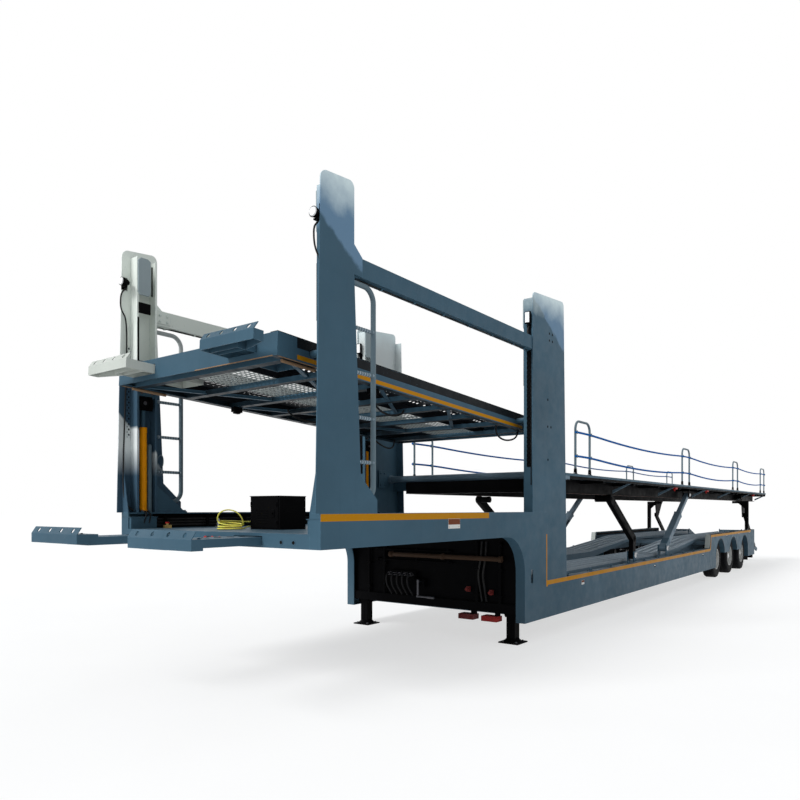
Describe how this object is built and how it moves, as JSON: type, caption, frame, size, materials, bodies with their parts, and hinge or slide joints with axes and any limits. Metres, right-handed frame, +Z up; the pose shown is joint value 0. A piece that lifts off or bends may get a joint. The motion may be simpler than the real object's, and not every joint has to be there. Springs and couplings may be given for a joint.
{
  "type": "car carrier semi-trailer",
  "caption": "Two-deck car-carrier semi-trailer with gooseneck, lift posts, raising decks, loading ramps, landing legs and a wheel bogie under covers.",
  "frame": {"origin": "centre of the bounding box's bottom face: on the ground, midway between the ramp tips, on the centre plane", "axes": "+X forward along the trailer, +Y to its left, +Z up"},
  "size_m": [19.7196, 2.55, 3.9602],
  "materials": {
    "frame_paint": "semi-gloss blue-grey paint",
    "black_paint": "satin black chassis paint",
    "cylinder_orange": "gloss orange paint",
    "lead_yellow": "yellow rubber sheath",
    "black_rubber": "black moulded rubber",
    "tyre": "matt black rubber",
    "rim_white": "white rim paint",
    "galvanised": "grey paint over galvanised steel"
  },
  "bodies": {
    "root": {"side_frame_left": "frame_paint", "side_frame_right": "frame_paint", "front_post_left": "frame_paint", "front_post_right": "frame_paint", "neck_post_left": "frame_paint", "neck_post_right": "frame_paint", "top_beams": "frame_paint", "ladders": "galvanised", "gooseneck_deck": "frame_paint", "kingpin_plate": "black_paint", "neck_bulkhead": "black_paint", "landing_legs": "black_paint", "power_cabinet": "black_paint", "lift_barrels": "cylinder_orange", "lower_tracks": "frame_paint", "lower_frame": "black_paint", "suspension": "black_paint", "rear_bumper": "black_paint", "rest_posts": "black_paint", "foot_brackets": "frame_paint", "axles": "black_paint", "lead_gland": "black_rubber", "supply_lead": "lead_yellow", "lead_coil": "lead_yellow", "lead_plug": "black_rubber"},
    "front_deck_lift": {"rear_carriages": "frame_paint"},
    "front_deck_nose": {"front_carriages": "frame_paint"},
    "front_deck": {"upper_frame": "frame_paint", "upper_tracks": "frame_paint"},
    "upper_ramp_left": {"front_upper_ramp_left": "frame_paint"},
    "upper_ramp_right": {"front_upper_ramp_right": "frame_paint"},
    "lower_ramp_left": {"front_lower_ramp_left": "frame_paint"},
    "lower_ramp_right": {"front_lower_ramp_right": "frame_paint"},
    "rear_deck": {"rear_upper_frame": "frame_paint", "rear_upper_tracks": "galvanised", "hoops": "galvanised"},
    "lifting_arms": {"bent_arms": "black_paint"},
    "strut_barrels": {"strut_barrels": "frame_paint"},
    "strut_rods": {"strut_rods": "frame_paint"},
    "folding_legs": {"prop_legs": "black_paint"},
    "rear_ramp_left": {"rear_ramp_left": "galvanised"},
    "rear_ramp_right": {"rear_ramp_right": "galvanised"},
    "wheel_1_left": {"tyre_1_left": "tyre", "rim_1_left": "rim_white"},
    "wheel_1_right": {"tyre_1_right": "tyre", "rim_1_right": "rim_white"},
    "wheel_2_left": {"tyre_2_left": "tyre", "rim_2_left": "rim_white"},
    "wheel_2_right": {"tyre_2_right": "tyre", "rim_2_right": "rim_white"},
    "wheel_3_left": {"tyre_3_left": "tyre", "rim_3_left": "rim_white"},
    "wheel_3_right": {"tyre_3_right": "tyre", "rim_3_right": "rim_white"}
  },
  "joints": [
    {"name": "front_deck_lift", "type": "slide", "parent": "root", "child": "front_deck_lift", "axis": [0, 0, 1], "range_m": [-0.4, 0.1]},
    {"name": "front_deck_tilt", "type": "hinge", "parent": "front_deck_lift", "child": "front_deck", "pos_m": [5.44479, 0, 2.492], "axis": [0, -1, 0], "range_deg": [-2.8, 0.7]},
    {"name": "front_nose_lift", "type": "slide", "parent": "front_deck_lift", "child": "front_deck_nose", "axis": [0, 0, 1], "range_m": [-0.17, 0.045]},
    {"name": "upper_ramp_slide_left", "type": "slide", "parent": "front_deck", "child": "upper_ramp_left", "axis": [-0.9988, 0, -0.0489], "range_m": [-0.2, 0.084]},
    {"name": "lower_ramp_slide_left", "type": "slide", "parent": "root", "child": "lower_ramp_left", "axis": [-1, 0, 0], "range_m": [0, 0.744]},
    {"name": "upper_ramp_slide_right", "type": "slide", "parent": "front_deck", "child": "upper_ramp_right", "axis": [-0.9988, 0, -0.0489], "range_m": [-0.2, 0.084]},
    {"name": "lower_ramp_slide_right", "type": "slide", "parent": "root", "child": "lower_ramp_right", "axis": [-1, 0, 0], "range_m": [0, 0.744]},
    {"name": "rear_deck_lift", "type": "hinge", "parent": "root", "child": "rear_deck", "pos_m": [4.74479, 0, 1.8], "axis": [0, 1, 0], "range_deg": [0, 3.5]},
    {"name": "lifting_arm_swing", "type": "hinge", "parent": "root", "child": "lifting_arms", "pos_m": [1.70979, 0, 0.76], "axis": [0, -1, 0], "range_deg": [0, 8.5]},
    {"name": "strut_swing", "type": "hinge", "parent": "root", "child": "strut_barrels", "pos_m": [-0.02021, 0, 0.79], "axis": [0, 1, 0], "range_deg": [0, 10]},
    {"name": "strut_stroke", "type": "slide", "parent": "strut_barrels", "child": "strut_rods", "axis": [-0.8522, 0, 0.5232], "range_m": [0, 0.26]},
    {"name": "folding_leg_swing", "type": "hinge", "parent": "rear_deck", "child": "folding_legs", "pos_m": [-7.01021, 0, 1.33], "axis": [0, -1, 0], "range_deg": [0, 36]},
    {"name": "rear_ramp_left", "type": "hinge", "parent": "root", "child": "rear_ramp_left", "pos_m": [-7.62021, 0, 0.88], "axis": [0, 1, 0], "range_deg": [-5, 30]},
    {"name": "rear_ramp_right", "type": "hinge", "parent": "root", "child": "rear_ramp_right", "pos_m": [-7.62021, 0, 0.88], "axis": [0, 1, 0], "range_deg": [-5, 30]},
    {"name": "wheel_1_left_spin", "type": "hinge", "parent": "root", "child": "wheel_1_left", "pos_m": [-3.56021, 1.08, 0.3985], "axis": [0, 1, 0], "continuous": true},
    {"name": "wheel_1_right_spin", "type": "hinge", "parent": "root", "child": "wheel_1_right", "pos_m": [-3.56021, -1.08, 0.3985], "axis": [0, 1, 0], "continuous": true},
    {"name": "wheel_2_left_spin", "type": "hinge", "parent": "root", "child": "wheel_2_left", "pos_m": [-4.87021, 1.08, 0.3985], "axis": [0, 1, 0], "continuous": true},
    {"name": "wheel_2_right_spin", "type": "hinge", "parent": "root", "child": "wheel_2_right", "pos_m": [-4.87021, -1.08, 0.3985], "axis": [0, 1, 0], "continuous": true},
    {"name": "wheel_3_left_spin", "type": "hinge", "parent": "root", "child": "wheel_3_left", "pos_m": [-6.18021, 1.08, 0.3985], "axis": [0, 1, 0], "continuous": true},
    {"name": "wheel_3_right_spin", "type": "hinge", "parent": "root", "child": "wheel_3_right", "pos_m": [-6.18021, -1.08, 0.3985], "axis": [0, 1, 0], "continuous": true}
  ],
  "couplings": [
    {"joint": "front_nose_lift", "follows": "front_deck_tilt", "m_per_rad": 3.305},
    {"joint": "lifting_arm_swing", "follows": "rear_deck_lift", "ratio": 2.3},
    {"joint": "strut_swing", "follows": "rear_deck_lift", "ratio": 2.654},
    {"joint": "strut_stroke", "follows": "rear_deck_lift", "m_per_rad": 3.633},
    {"joint": "folding_leg_swing", "follows": "rear_deck_lift", "ratio": 10.09}
  ]
}
